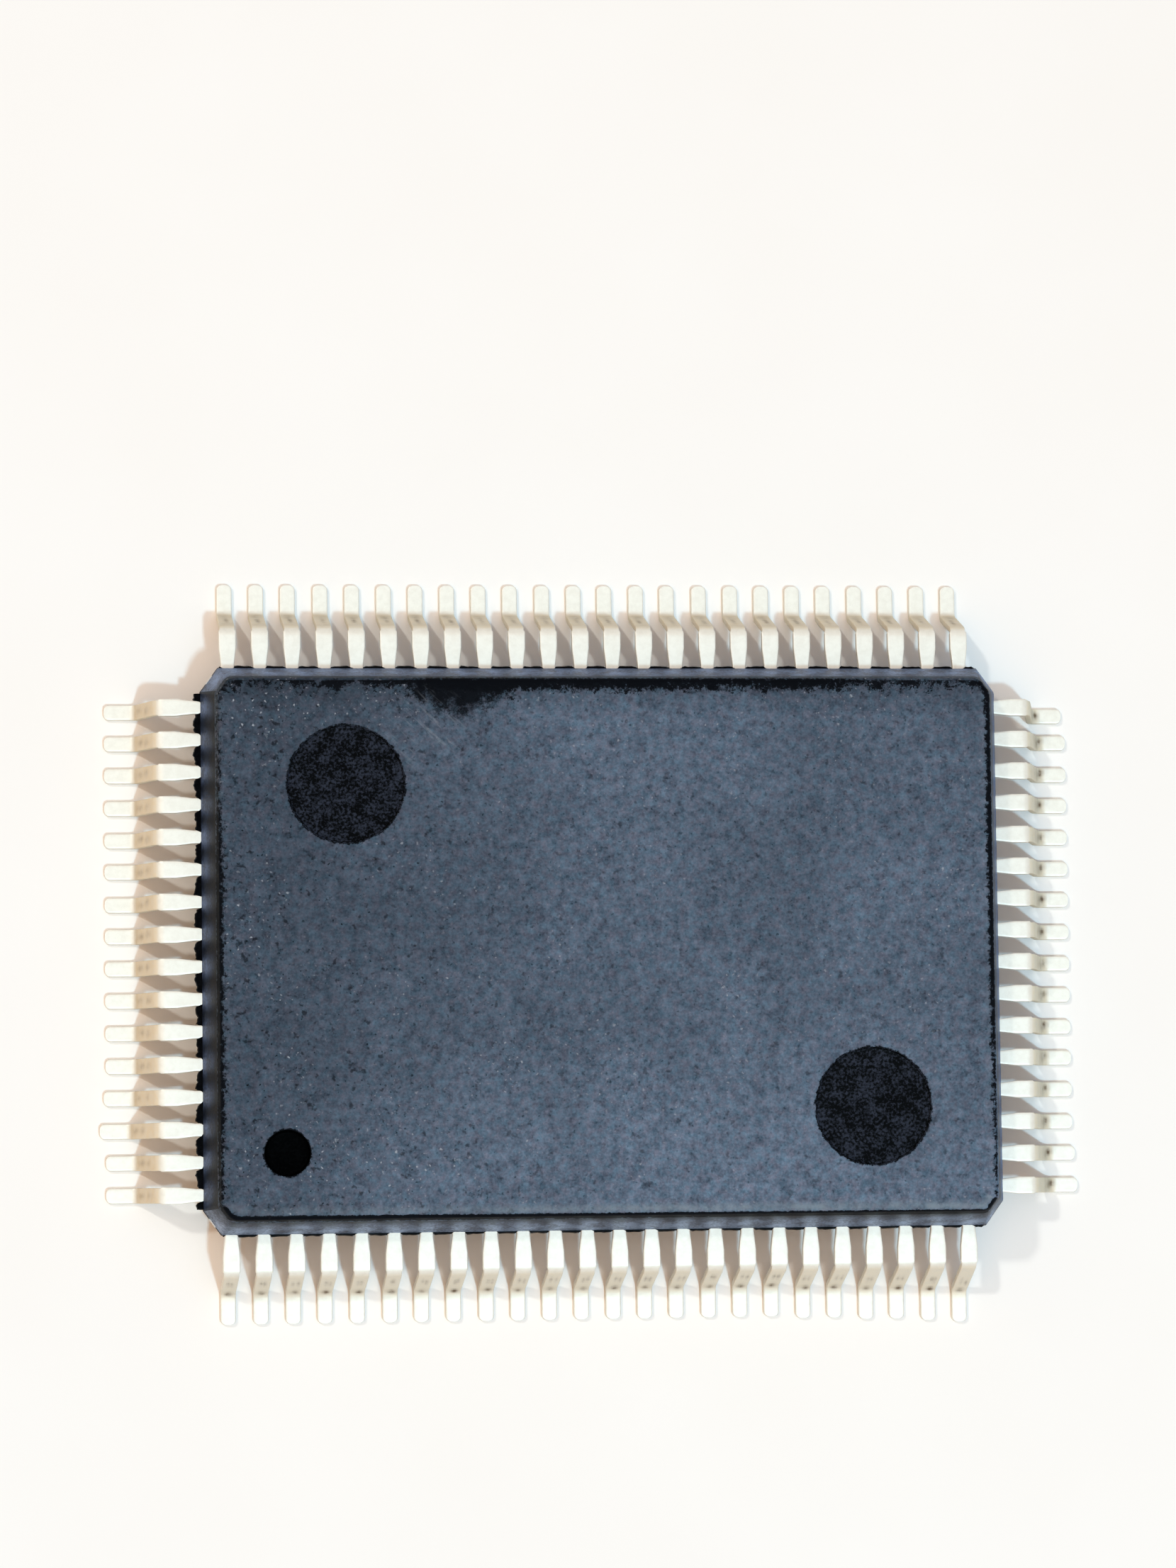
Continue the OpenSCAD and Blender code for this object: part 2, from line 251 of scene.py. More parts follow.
def grainedCompound(topOfBody, rearEdge):
    material, tree, shader = newMaterial("grainedCompound", Specular_IOR_Level=compound["gleam"])
    place = objectPlace(tree)
    fine = noiseOf(tree, place, compound["grain"], 2.0, 0.6)
    fleck = noiseOf(tree, place, compound["fleck"], 1.0, 0.5)
    patch = noiseOf(tree, place, compound["patch"], 3.0, 0.6)
    cloud = noiseOf(tree, place, compound["cloud"], 3.0, 0.55)
    grainMix = weighted(tree, *zip((fine, fleck, patch), compound["shares"]))
    colour = rampOf(tree, grainMix, ((0.28, compound["dark"]), (0.72, compound["light"])))
    stray = noiseOf(tree, place, compound["hueSize"], 3.0, 0.65)
    cast = rampOf(tree, stray, tuple(zip((0.35, 0.65), compound["hue"])))
    colour = mixOf(tree, 1.0, colour, cast, "MULTIPLY")
    alongX, alongY, alongZ = addNode(tree, "SeparateXYZ", Vector=place).outputs
    # painted light and shade across the top: darker towards the left, right and rear ends, paler towards the
    # front; the cloud adds random tone
    shadeAndTone = product(
        tree,
        fadeOf(tree, alongX, compound["leftPaintedShade"]),
        fadeOf(tree, alongX, compound["rightPaintedShade"]),
        fadeOf(tree, alongY, compound["frontPaintedLight"]),
        fadeOf(tree, alongY, compound["rearPaintedShade"], rearEdge),
        rangeOf(tree, cloud, 0.3, 0.7, *compound["cloudTone"]),
    )
    colour = scaleOf(tree, colour, shadeAndTone)
    # pale filler grains and dust in loose clusters, and small dark pits: peaks and hollows of fine noises
    worn = fadeOf(tree, alongX, compound["wear"])
    gathered = rangeOf(tree, noiseOf(tree, place, compound["dustCluster"], 2.0, 0.5), 0.42, 0.66, 0.15, 1.0)
    dust = product(tree, spotsOf(tree, place, compound["dustSpots"]), gathered, worn)
    colour = mixOf(tree, dust, colour, compound["dust"])
    pits = product(tree, spotsOf(tree, place, compound["pitSpots"]), worn)
    colour = mixOf(tree, pits, colour, compound["black"])
    # painted shade patch near the rear edge, where the top stops reflecting the bright surround: deepest at
    # its middle, with a torn inner border
    middle, halfLength = compound["shadePatchPlace"]
    deep, shallow = compound["shadePatchDepth"]
    tearSize, tearReach = compound["shadePatchTear"]
    fromMiddle = mathOf(tree, "ABSOLUTE", mathOf(tree, "SUBTRACT", alongX, middle * mm))
    depth = rangeOf(tree, fromMiddle, 0.0, halfLength * mm, deep * mm, shallow * mm)
    torn = mathOf(tree, "SUBTRACT", noiseOf(tree, place, tearSize, 5.0, 0.85), 0.5)
    fromEdge = mathOf(tree, "SUBTRACT", rearEdge * mm, alongY)
    fromEdge = mathOf(tree, "ADD", fromEdge, product(tree, torn, tearReach * mm))
    ratio = mathOf(tree, "DIVIDE", fromEdge, depth)
    onTop = fadeOf(tree, alongZ, compound["topFace"], topOfBody)
    shadePatch = product(tree, rangeOf(tree, ratio, 0.5, 1.2, 0.97, 0.0), onTop)
    colour = mixOf(tree, shadePatch, colour, compound["black"])
    # pale slanting scuffs beside the rear ejector mark: a noise drawn out along the slant
    turned = addNode(
        tree, "Mapping", {"vector_type": "TEXTURE"}, Vector=place, Scale=compound["scuffStretch"],
        Rotation=(0, 0, math.radians(compound["scuffSlant"])),
    )
    streak = rangeOf(tree, noiseOf(tree, turned.outputs[0], compound["scuffSize"], 3.0, 0.6), 0.54, 0.68)
    offset = addNode(tree, "VectorMath", {"operation": "DISTANCE"})
    tree.links.new(place, offset.inputs[0])
    scuffX, scuffY = compound["scuffPlace"]
    offset.inputs[1].default_value = (scuffX * mm, scuffY * mm, topOfBody * mm)
    nearby = fadeOf(tree, offset.outputs["Value"], compound["scuffFade"])
    colour = mixOf(tree, product(tree, streak, nearby), colour, compound["dust"])
    # painted highlight just inside the edges of the top face, and the ragged border of the painted black edge
    # shade outside it
    uneven = rangeOf(tree, patch, 0.35, 0.65, 0.35, 1.0)
    edgeHighlight = product(tree, attributeOf(tree, "edgeHighlight"), uneven, fadeOf(tree, alongX, compound["edgeHighlightFade"]))
    colour = mixOf(tree, edgeHighlight, colour, compound["edgeHighlightColour"])
    # painted shade: the edges of the top face go black with a ragged border; round the marks the same
    # attribute blends into their own black rim
    tearSize, tearReach = compound["shadeAndRimTear"]
    ragged = mathOf(tree, "SUBTRACT", noiseOf(tree, place, tearSize, 3.0, 0.7), 0.5)
    border = mathOf(tree, "ADD", attributeOf(tree, "edgeShadeAndRim"), product(tree, ragged, tearReach))
    colour = mixOf(tree, rangeOf(tree, border, 0.4, 0.72, 0.0, 0.98), colour, compound["black"])
    dress(tree, shader, colour, glossOf(tree, patch, compound["gloss"]))
    bumpOf(tree, shader, fine, compound["relief"], 0.8)
    return material


def wallCompound():
    # the sloping walls: the same grain, greyer, with painted light and shade and a painted cast of their own
    # on each side
    material, tree, shader = newMaterial("wallCompound", Specular_IOR_Level=compound["wallGleam"])
    place = objectPlace(tree)
    fine = noiseOf(tree, place, compound["grain"], 2.0, 0.6)
    patch = noiseOf(tree, place, compound["wallPatch"], 3.0, 0.6)
    grainMix = weighted(tree, *zip((fine, patch), compound["wallShares"]))
    colour = rampOf(tree, grainMix, ((0.41, compound["wallDark"]), (0.59, compound["wallLight"])))
    # painted cast on each side, against the tint of the light on that wall
    cool = mixOf(tree, attributeOf(tree, "wallCool"), (1.0, 1.0, 1.0), compound["wallCast"])
    colour = mixOf(tree, 1.0, colour, cool, "MULTIPLY")
    # painted light and shade of each wall
    colour = scaleOf(tree, colour, attributeOf(tree, "wallLightAndShade"))
    dress(tree, shader, colour, glossOf(tree, patch, compound["wallGloss"]))
    bumpOf(tree, shader, fine, compound["wallRelief"], 0.7)
    return material


def polishedCompound(name):
    gleam, dark, light = compound[name]
    material, tree, shader = newMaterial(name, Specular_IOR_Level=gleam)
    place = objectPlace(tree)
    (fineSize, fineShare), (coarseSize, coarseShare) = compound["speckle"]
    fine = noiseOf(tree, place, fineSize, 2.0, 0.6)
    coarse = noiseOf(tree, place, coarseSize, 3.0, 0.6)
    speckle = weighted(tree, (fine, fineShare), (coarse, coarseShare))
    colour = rampOf(tree, speckle, ((0.46, dark), (0.62, light)))
    bloom = noiseOf(tree, place, compound["polishBloom"], 2.0)
    dress(tree, shader, colour, glossOf(tree, bloom, compound["polishGloss"]))
    bumpOf(tree, shader, fine, compound["polishRelief"], 0.5)
    return material


# Solder plate on the leads

plate = {
    "clean": (0.80, 0.767, 0.685),
    "dull": (0.75, 0.712, 0.63),
    # matt tan on the slopes: partly tarnish, partly painted reflection of the floor and its shade
    "tarnishAndReflection": (0.76, 0.67, 0.50),
    # brown of the painted dark reflections on the slopes and heels
    "darkReflection": (0.15, 0.10, 0.06),
    "metal": (0.45, 0.08),  # clean, where tarnished and painted
    "gloss": (0.44, 0.56),
    "matt": 0.85,  # roughness where tarnished and painted
    "patch": 0.16,
    "fine": 0.035,
    "relief": 0.0012,
}


def solderPlate():
    material, tree, shader = newMaterial("solderPlate")
    place = objectPlace(tree)
    patch = noiseOf(tree, place, plate["patch"], 3.0, 0.6)
    fine = noiseOf(tree, place, plate["fine"], 2.0, 0.6)
    # tarnish and painted reflection of the floor on the slopes
    tarnishAndReflection = product(tree, attributeOf(tree, "tarnishAndReflection"), rangeOf(tree, patch, 0.2, 0.7, 0.55, 1.0))
    # painted dark reflections: brown spots on the slopes and heels
    darkReflection = product(tree, attributeOf(tree, "darkReflection"), rangeOf(tree, patch, 0.3, 0.6, 0.5, 1.0))
    colour = rampOf(tree, patch, ((0.32, plate["dull"]), (0.62, plate["clean"])))
    colour = mixOf(tree, tarnishAndReflection, colour, plate["tarnishAndReflection"])
    colour = mixOf(tree, darkReflection, colour, plate["darkReflection"])
    gloss = mixOf(tree, tarnishAndReflection, glossOf(tree, fine, plate["gloss"]), (plate["matt"],) * 3)
    dress(tree, shader, colour, gloss)
    tree.links.new(rangeOf(tree, tarnishAndReflection, 0.0, 1.0, *plate["metal"]), shader.inputs["Metallic"])
    bumpOf(tree, shader, fine, plate["relief"], 0.6)
    return material


# Finishes inside the moulding: a noise leads from a dark to a light colour and from one roughness to another

inner = {
    "rolledAlloy": {
        "metal": 1.0,
        "noise": (0.03, 3.0, 0.6),  # size, detail, roughness
        "stretch": (0.05, 1.0, 1.0),  # rolled along x
        "places": (0.3, 0.7),
        "colours": ((0.52, 0.50, 0.47), (0.66, 0.64, 0.61)),
        "gloss": (0.28, 0.42),
        "relief": (0.001, 0.5),  # depth, strength
    },
    "silverAdhesive": {
        "metal": 0.35,
        "noise": (0.04, 3.0, 0.65),
        "stretch": (1.0, 1.0, 1.0),
        "places": (0.35, 0.65),
        "colours": ((0.30, 0.30, 0.31), (0.62, 0.62, 0.63)),
        "gloss": (0.62, 0.38),
        "relief": (0.003, 0.6),
    },
    "drawnGold": {
        "metal": 1.0,
        "noise": (0.02, 2.0, 0.6),
        "stretch": (1.0, 1.0, 1.0),
        "places": (0.3, 0.7),
        "colours": ((0.84, 0.58, 0.20), (0.95, 0.72, 0.32)),
        "gloss": (0.18, 0.30),
        "relief": None,
    },
}


def innerMetal(name):
    finish = inner[name]
    material, tree, shader = newMaterial(name, Metallic=finish["metal"])
    drawnOut = addNode(tree, "Mapping", Vector=objectPlace(tree), Scale=finish["stretch"])
    grain = noiseOf(tree, drawnOut.outputs[0], *finish["noise"])
    colour = rampOf(tree, grain, tuple(zip(finish["places"], finish["colours"])))
    dress(tree, shader, colour, glossOf(tree, grain, finish["gloss"], finish["places"]))
    if finish["relief"]:
        bumpOf(tree, shader, grain, *finish["relief"])
    return material


silicon = {
    "index": 2.0,
    "gloss": (0.12, 0.24),
    "cells": ((0.12, 0.13, 0.17), (0.19, 0.18, 0.20)),
    "line": (0.30, 0.29, 0.27),
    "cellSize": (0.16, 0.09, 0.008),  # length, height, line
    "block": (0.10, 0.12, 0.16),
    "blockSize": 1.1,
}


def polishedSilicon():
    # rows of cells and wider blocks of circuitry, as bricks and as square patches
    material, tree, shader = newMaterial("polishedSilicon", IOR=silicon["index"])
    place = objectPlace(tree)
    length, height, line = silicon["cellSize"]
    first, second = silicon["cells"]
    bricks = addNode(
        tree, "TexBrick", Vector=place, Scale=1 / mm, Brick_Width=length, Row_Height=height, Mortar_Size=line,
        Color1=(*first, 1), Color2=(*second, 1), Mortar=(*silicon["line"], 1),
    )
    blockScale = 1 / (silicon["blockSize"] * mm)
    blocks = addNode(tree, "TexVoronoi", {"distance": "CHEBYCHEV"}, Vector=place, Scale=blockScale)
    shade = rangeOf(tree, blocks.outputs["Distance"], 0.1, 0.6, 0.15, 0.7)
    colour = mixOf(tree, shade, bricks.outputs["Color"], silicon["block"])
    dress(tree, shader, colour, rangeOf(tree, bricks.outputs["Fac"], 0.0, 1.0, *silicon["gloss"]))
    return material


def addPiece(name, points, faces, materials, faceMaterial, sharpAngle, nodes, attributes):
    mesh = bpy.data.meshes.new(name)
    mesh.from_pydata(points * mm, [], faces)
    for material in materials:
        mesh.materials.append(material)
    mesh.polygons.foreach_set("material_index", np.asarray(faceMaterial, dtype=np.int32))
    mesh.polygons.foreach_set("use_smooth", np.ones(len(faces), dtype=bool))
    mesh.set_sharp_from_angle(angle=math.radians(sharpAngle))
    for key, values in attributes.items():
        attribute = mesh.attributes.new(key, "FLOAT", "POINT")
        attribute.data.foreach_set("value", values.astype(np.float32).ravel())
    mesh.update()
    piece = bpy.data.objects.new(name, mesh)
    bpy.context.scene.collection.objects.link(piece)
    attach(piece, "root")
    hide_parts(*nodes)
    return piece


# Moulded body

body = {
    "draftInset": 0.4,  # how far the top and bottom faces stand in from the parting line
    "chamferX": 0.45,
    "chamferY": 0.62,
    "chamferKeep": 0.9,  # share of the chamfer that its rounding may take up
    "edgeRound": 0.12,
    "cornerRound": 0.07,  # at the parting line
    "cornerRoundFace": 0.34,  # at the top and bottom faces
    "edgeSteps": 8,
    "cornerSteps": 8,
    "wallSteps": 240,
    "chamferSteps": 4,
    "closeStep": 0.15,  # the first and last step of a wall are this share of the others
    "wallLevels": 9,
    "sheetClear": (0.004, 0.02),  # the lowest two levels of the wall, over the sheet
    "sharpAngle": 40,
    "rim": (0.03, 0.08, 0.14, 0.22, 0.34),  # rings on the flat face beside the rounded edge
    # how black the painted edge shade is at these distances in from the parting line, on each side
    "edgeShadeAt": (0.315, 0.345, 0.43, 0.49, 0.61, 0.73, 0.83),
    "edgeShadeAndRim": {
        "front": (0.35, 1.0, 1.15, 0.1, 0.0, 0.0, 0.0),
        "right": (0.05, 0.2, 0.95, 0.75, 0.2, 0.08, 0.0),
        "rear": (0.0, 0.3, 0.9, 0.9, 0.7, 0.42, 0.12),
        "left": (0.5, 0.95, 0.75, 0.5, 0.3, 0.18, 0.05),
    },
    # strength of the painted edge shade along each side: place along x or y, share
    "edgeShadeAlong": {
        "front": ((-9.5, 1.0), (9.5, 1.0)),
        "right": ((-6.5, 0.65), (-3.0, 0.8), (-1.0, 1.0), (6.5, 1.0)),
        "rear": (
            (-9.5, 0.0), (-6.2, 0.05), (-5.0, 0.6), (-4.5, 1.05),
            (-1.0, 1.0), (5.8, 0.9), (7.0, 0.6), (9.5, 0.45),
        ),
        "left": ((-6.5, 0.7), (-4.0, 1.0), (2.0, 1.0), (4.0, 0.65), (6.5, 0.5)),
    },
    "edgeShadeSlant": 0.0035,  # on the front side the painted edge shade runs out towards the parting line, per mm of x
    "edgeShadeShift": {"front": 0.01, "right": 0.0, "rear": 0.0, "left": 0.0},
    # painted highlight inside the edges of the top face: places in from the parting line, share at each,
    # strength on each side
    "edgeHighlightAt": (0.46, 0.52, 0.57, 0.64, 0.72),
    "edgeHighlightShare": (0.0, 0.8, 1.0, 0.5, 0.0),
    "edgeHighlight": {"front": 1.0, "right": 0.1, "rear": 0.0, "left": 0.1},
    # painted light and shade on each wall: front and rear paler, left darker
    "wallLightAndShade": {"front": 1.24, "right": 0.97, "rear": 1.25, "left": 0.5},
    "wallCool": {"front": 0.0, "right": 0.8, "rear": 0.4, "left": 1.0},  # how much of the cool cast, painted on each side against the tint of the light on that wall
    "leadShoulderReflection": {"front": 0.28, "right": 0.12, "rear": 0.16, "left": 0.75},  # painted reflection of the lead shoulders: paler above each lead
    "wallLightAndShadeAt": (0.0, 0.1, 0.2, 0.3, 0.345),  # and how the painted light and shade changes up the wall, darkest towards its top
    "wallLightAndShadeUp": {
        "front": (1.05, 1.1, 0.9, 0.2, 0.08),
        "right": (1.05, 1.0, 0.6, 0.08, 0.08),
        "rear": (0.9, 0.95, 1.0, 0.62, 0.45),
        "left": (0.95, 0.95, 0.4, 0.03, 0.06),
    },
    # torn resin left between the leads, as thick as the sheet: how far it stands out on each side
    "resinOut": {"front": 0.05, "right": 0.0, "rear": 0.055, "left": 0.18},
    "resinGap": 0.012,  # how far the wall stands back beside each lead
    "resinFill": (0.28, 0.12),  # where the resin starts between lead and gap, and how soon it is full
    "resinMean": 0.72,
    "resinWaves": ((0.14, 9.1, 1.3), (0.08, 23.7, 0.0), (0.06, 51.0, 0.0)),  # height, pace, start
    "ejectors": ((-6.4, 4.0), (6.6, -4.0)),
    "ejectorSize": (1.425, 0.06, 0.015, 0.004),  # radius, depth, rounding of the foot, hollow of the floor
    "dimple": (-7.9, -5.0),
    "dimpleSize": (0.54, 0.15, 0.06, 0.02),
    "rimRound": 0.03,
    "rimPoints": 6,
    "floorRings": (0.96, 0.06, 12),  # first and last as a share of the floor's radius, number
    "markSteps": 96,
    "markBorder": 0.09,  # width of the ragged border round the marks, and how black it is at the rim
    "markPolish": 0.75,
}

lead = {
    "sides": ("front", "right", "rear", "left"),
    "pitch": 0.8,
    "counts": (24, 16, 24, 16),
    "walls": (7.0, 10.0, 7.0, 10.0),  # middle of the part to the wall
    "tipWalls": (3.55, 4.85, 3.55, 4.85),  # middle of the part to the inner tips
    "thick": 0.15,
    "width": 0.38,
    "neckWidth": 0.33,
    "neckLength": 0.06,
    "damStub": 0.025,
    "damFrom": 0.5,
    "damLength": 0.4,
    "standOut": 2.2,
    "shoulder": 0.95,
    "foot": 0.8,
    "bendRound": 0.16,
    "tipRound": 0.12,
    "tipPitch": 0.38,
    "tipWidth": 0.19,
    "rootStraight": 0.2,
    "rollTop": 0.024,  # rounding of the stamped edges, larger on the side that the punch met
    "rollBottom": 0.015,
    "rollPoints": 4,
    "topPoints": 7,  # between the two top corners
    "innerSteps": 4,
    "damStep": 0.1,  # from the start of the stub to the next station
    "bendSteps": 12,
    "slopeSteps": 6,
    "footSteps": 5,
    "tipSteps": 6,
    "sharpAngle": 50,
    "wander": 0.012,  # unevenness of the feet along their row
    "seed": 11,
    "group": 8,
    # tarnish and painted reflection of the floor on the slopes, per side
    "tarnishAndReflectionShare": (0.5, 1.0, 0.9, 1.0),  # strength on each side
    "tarnishAndReflectionStart": (0.03, 0.08, 0.04, 0.06),  # before the upper bend, on each side
    "tarnishAndReflectionEnd": (0.24, 0.26, 0.08, 0.08),  # past the heel, on each side
    "tarnishAndReflectionFade": (0.05, 0.12),  # at the start and at the end
    # painted dark reflections on each side, as brown spots: place out from the heel, place across, length,
    # width, strength
    "darkReflections": (
        ((-0.02, 0.02, 0.055, 0.075, 1.0), (-0.27, -0.05, 0.05, 0.04, 0.5), (-0.27, 0.06, 0.05, 0.04, 0.5)),
        ((0.10, 0.04, 0.07, 0.08, 1.0), (-0.03, 0.0, 0.10, 0.14, 0.45), (-0.20, 0.0, 0.06, 0.2, 0.2)),
        ((-0.25, 0.0, 0.07, 0.055, 0.6), (-0.10, 0.0, 0.07, 0.12, 0.3), (-0.38, 0.0, 0.05, 0.3, 0.12)),
        ((-0.14, 0.0, 0.05, 0.08, 0.4), (-0.29, 0.0, 0.04, 0.09, 0.35), (-0.02, 0.0, 0.05, 0.3, 0.2)),
    ),
    "darkReflectionStray": (0.03, 0.02, 0.35),  # from lead to lead: across, out, in strength
    # side, place counted back from the end of its row, foot shift along the row and outwards
    "bent": (
        (0, 0, 0.0, 0.20), (0, 1, 0.0, 0.15), (0, 2, 0.0, 0.10), (0, 3, 0.0, 0.10), (0, 4, 0.0, 0.05),
        (0, 5, 0.0, 0.05), (1, 15, 0.0, 0.10), (1, 14, 0.0, 0.05), (1, 0, -0.10, -0.10),
        (3, 3, 0.0, 0.05), (3, 2, 0.0, 0.15),
    ),
}

bodyLow, bodyHigh = (np.array(corner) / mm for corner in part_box("moulded_body"))
bodyMiddle = (bodyLow + bodyHigh) / 2
bodyHalf = (bodyHigh - bodyLow) / 2
partingZ = bodyMiddle[2]


def outlineStations():
    # Each station is a corner number, a share of the way to the next corner and the direction of the wall's
    # normal: the corners turn the normal, the walls between them move the share.
    turn = math.atan2(body["chamferX"], body["chamferY"])
    angles = np.array([0, turn, math.pi / 2, math.pi - turn])
    angles = np.concatenate([angles, angles + math.pi, [2 * math.pi]])
    corner, share, normal = [], [], []
    for k in range(8):
        arc = np.linspace(angles[k], angles[k + 1], body["cornerSteps"] + 1)
        steps = body["wallSteps"] if k % 2 else body["chamferSteps"]
        close = body["closeStep"] / steps
        run = np.concatenate([[close], np.linspace(0, 1, steps + 1)[1:-1], [1 - close]])
        corner.append(np.full(len(arc) + len(run), k))
        share.append(np.concatenate([np.zeros(len(arc)), run]))
        normal.append(np.concatenate([arc, np.full(len(run), angles[k + 1])]))
    return angles, np.concatenate(corner), np.concatenate(share), np.concatenate(normal)


def bodyOutlines(insets):
    # A chamfered rectangle whose eight edges all move in by the inset. Its rounded outline is the same shape
    # moved in further by the corner radius, plus that radius along the normal. The radius grows with the
    # inset.
    grown = np.clip(insets / body["draftInset"], 0, 1)
    rounding = body["cornerRound"] + (body["cornerRoundFace"] - body["cornerRound"]) * grown
    angles, corner, share, normal = outlineStations()
    turn = angles[1]
    # the inset shortens the chamfer, and the rounding has to fit on what is left of it
    shortening = math.tan(turn / 2) + math.tan((math.pi / 2 - turn) / 2)
    chamferLeft = math.hypot(body["chamferX"], body["chamferY"]) - insets * shortening
    rounding = np.minimum(rounding, body["chamferKeep"] * chamferLeft / shortening)
    chamferReach = math.cos(turn) * (bodyHalf[0] - body["chamferX"]) + math.sin(turn) * bodyHalf[1]
    reach = np.tile([bodyHalf[0], chamferReach, bodyHalf[1], chamferReach], 2)
    here = reach[None, :] - insets[:, None] - rounding[:, None]
    ahead = np.roll(here, -1, axis=1)
    first, second = angles[:8], angles[1:]
    spread = np.sin(second - first)
    corners = np.stack(
        [
            (here * np.sin(second) - ahead * np.sin(first)) / spread,
            (ahead * np.cos(first) - here * np.cos(second)) / spread,
        ],
        axis=2,
    )
    facing = np.stack([np.cos(normal), np.sin(normal)], axis=1)
    start = corners[:, corner]
    end = corners[:, (corner + 1) % 8]
    outline = start + (end - start) * share[None, :, None] + rounding[:, None, None] * facing[None]
    return outline + bodyMiddle[:2], facing, corner, share


def bodyLevels():
    # Half of the wall's profile as inset and height over the parting line: wall, rounded edge, flat rim.
    halfT = bodyHalf[2]
    draft = math.atan2(body["draftInset"], halfT)
    edge = body["edgeRound"]
    flatInset = body["draftInset"] + edge * math.tan((math.pi / 2 - draft) / 2)
    angle = np.linspace(draft, math.pi / 2, body["edgeSteps"] + 1)
    arcInset = flatInset - edge * np.cos(angle)
    arcHeight = halfT - edge + edge * np.sin(angle)
    lowest, second = lead["thick"] / 2 + np.array(body["sheetClear"])
    wallTop = np.array(body["edgeShadeAt"][:2]) * halfT / body["draftInset"]
    wallHeight = np.concatenate([[lowest], np.linspace(second, wallTop[0], body["wallLevels"]), wallTop[1:]])
    wallInset = wallHeight * body["draftInset"] / halfT
    rim = flatInset + np.array(body["rim"])
    inset = np.concatenate([wallInset, arcInset, rim])
    height = np.concatenate([wallHeight, arcHeight, np.full(len(rim), halfT)])
    # finish of each band between two levels: the wall below the painted edge shade, then edge and face
    bands = ["wall"] * (len(wallHeight) - 2) + ["grain"] * (len(angle) + len(rim) + 1)
    return inset, height, bands


def bySide(facing, values):
    # the value of the side that each station of the outline belongs to
    sides = [facing[:, 1] < -0.5, facing[:, 0] > 0.5, facing[:, 1] > 0.5]
    return np.select(sides, [values["front"], values["right"], values["rear"]], values["left"])


def alongRow(outline, facing):
    # place along the row of leads: y on the right and left sides, x on the others
    return np.where(np.abs(facing[:, 0]) > 0.5, outline[:, 1], outline[:, 0])


def resinLedge(outline, facing, corner, share):
    # Torn resin between the leads: stands out in the middle of each gap and back beside each lead,
    # with a ragged front made of three sine waves.
    onWall = (corner % 2 == 1) & (share > 0)
    along = alongRow(outline, facing)
    toGap = 0.5 + 0.5 * np.cos(2 * np.pi * along / lead["pitch"])
    fillFrom, fillOver = body["resinFill"]
    fill = np.clip((toGap - fillFrom) / fillOver, 0, 1)
    ragged = body["resinMean"]
    for size, pace, start in body["resinWaves"]:
        ragged = ragged + size * np.sin(pace * along + start)
    longEnd, shortEnd = (count * lead["pitch"] / 2 for count in lead["counts"][:2])
    rowEnd = np.where(np.abs(facing[:, 0]) > 0.5, shortEnd, longEnd)
    out = bySide(facing, body["resinOut"])
    ledge = fill * ragged * out - (1 - fill) * body["resinGap"]
    return np.where(onWall & (np.abs(along) < rowEnd), ledge, -0.5 * body["resinGap"])


def ringFaces(first, second, count):
    # quads between two rings of a grid, closed round the ring
    step = np.arange(count)
    ahead = (step + 1) % count
    return np.stack([first + step, first + ahead, second + ahead, second + step], axis=1)


def fillFlat(points, rings):
    # triangles between closed rings of points that lie in one level plane; later rings are holes
    index = np.concatenate(rings)
    edges, start = [], 0
    for ring in rings:
        step = np.arange(len(ring))
        edges.append(np.stack([start + step, start + (step + 1) % len(ring)], axis=1))
        start += len(ring)
    flat = [Vector(p) for p in points[index, :2]]
    result = delaunay_2d_cdt(flat, np.concatenate(edges).tolist(), [], 1, 1e-6)
    original = np.array([sources[0] for sources in result[3]])
    triangles = original[np.array(result[2])]
    ringOf = np.repeat(np.arange(len(rings)), [len(ring) for ring in rings])[triangles]
    insideHole = (ringOf[:, 0] > 0) & (ringOf[:, 0] == ringOf[:, 1]) & (ringOf[:, 0] == ringOf[:, 2])
    triangles = index[triangles[~insideHole]]
    corner = points[triangles, :2]
    side = corner[:, 1:] - corner[:, :1]
    area = side[:, 0, 0] * side[:, 1, 1] - side[:, 0, 1] * side[:, 1, 0]
    triangles[area < 0] = triangles[area < 0][:, ::-1]
    return triangles


def markRings(radius, depth, floorRound, hollow):
    # Profile of a round mark as radius and height: flat strip, rounded rim, wall, rounded foot, floor that
    # is hollowed towards its middle.
    rim = body["rimRound"]
    turn = np.linspace(0, math.pi / 2, body["rimPoints"])
    rimR = radius + rim - rim * np.sin(turn)
    rimZ = rim * np.cos(turn) - rim
    footR = radius - floorRound + floorRound * np.cos(turn)
    footZ = floorRound - depth - floorRound * np.sin(turn)
    floorR = (radius - floorRound) * np.linspace(*body["floorRings"])
    floorZ = -depth - hollow * (1 - (floorR / (radius - floorRound)) ** 2)
    ringR = np.concatenate([[radius + rim + body["markBorder"]], rimR, footR, floorR])
    ringZ = np.concatenate([[0.0], rimZ, footZ, floorZ])
    return ringR, ringZ


finishes = {"grain": 0, "resin": 1, "wall": 2, "ejector": 3, "dimple": 4}  # slots of the body's materials


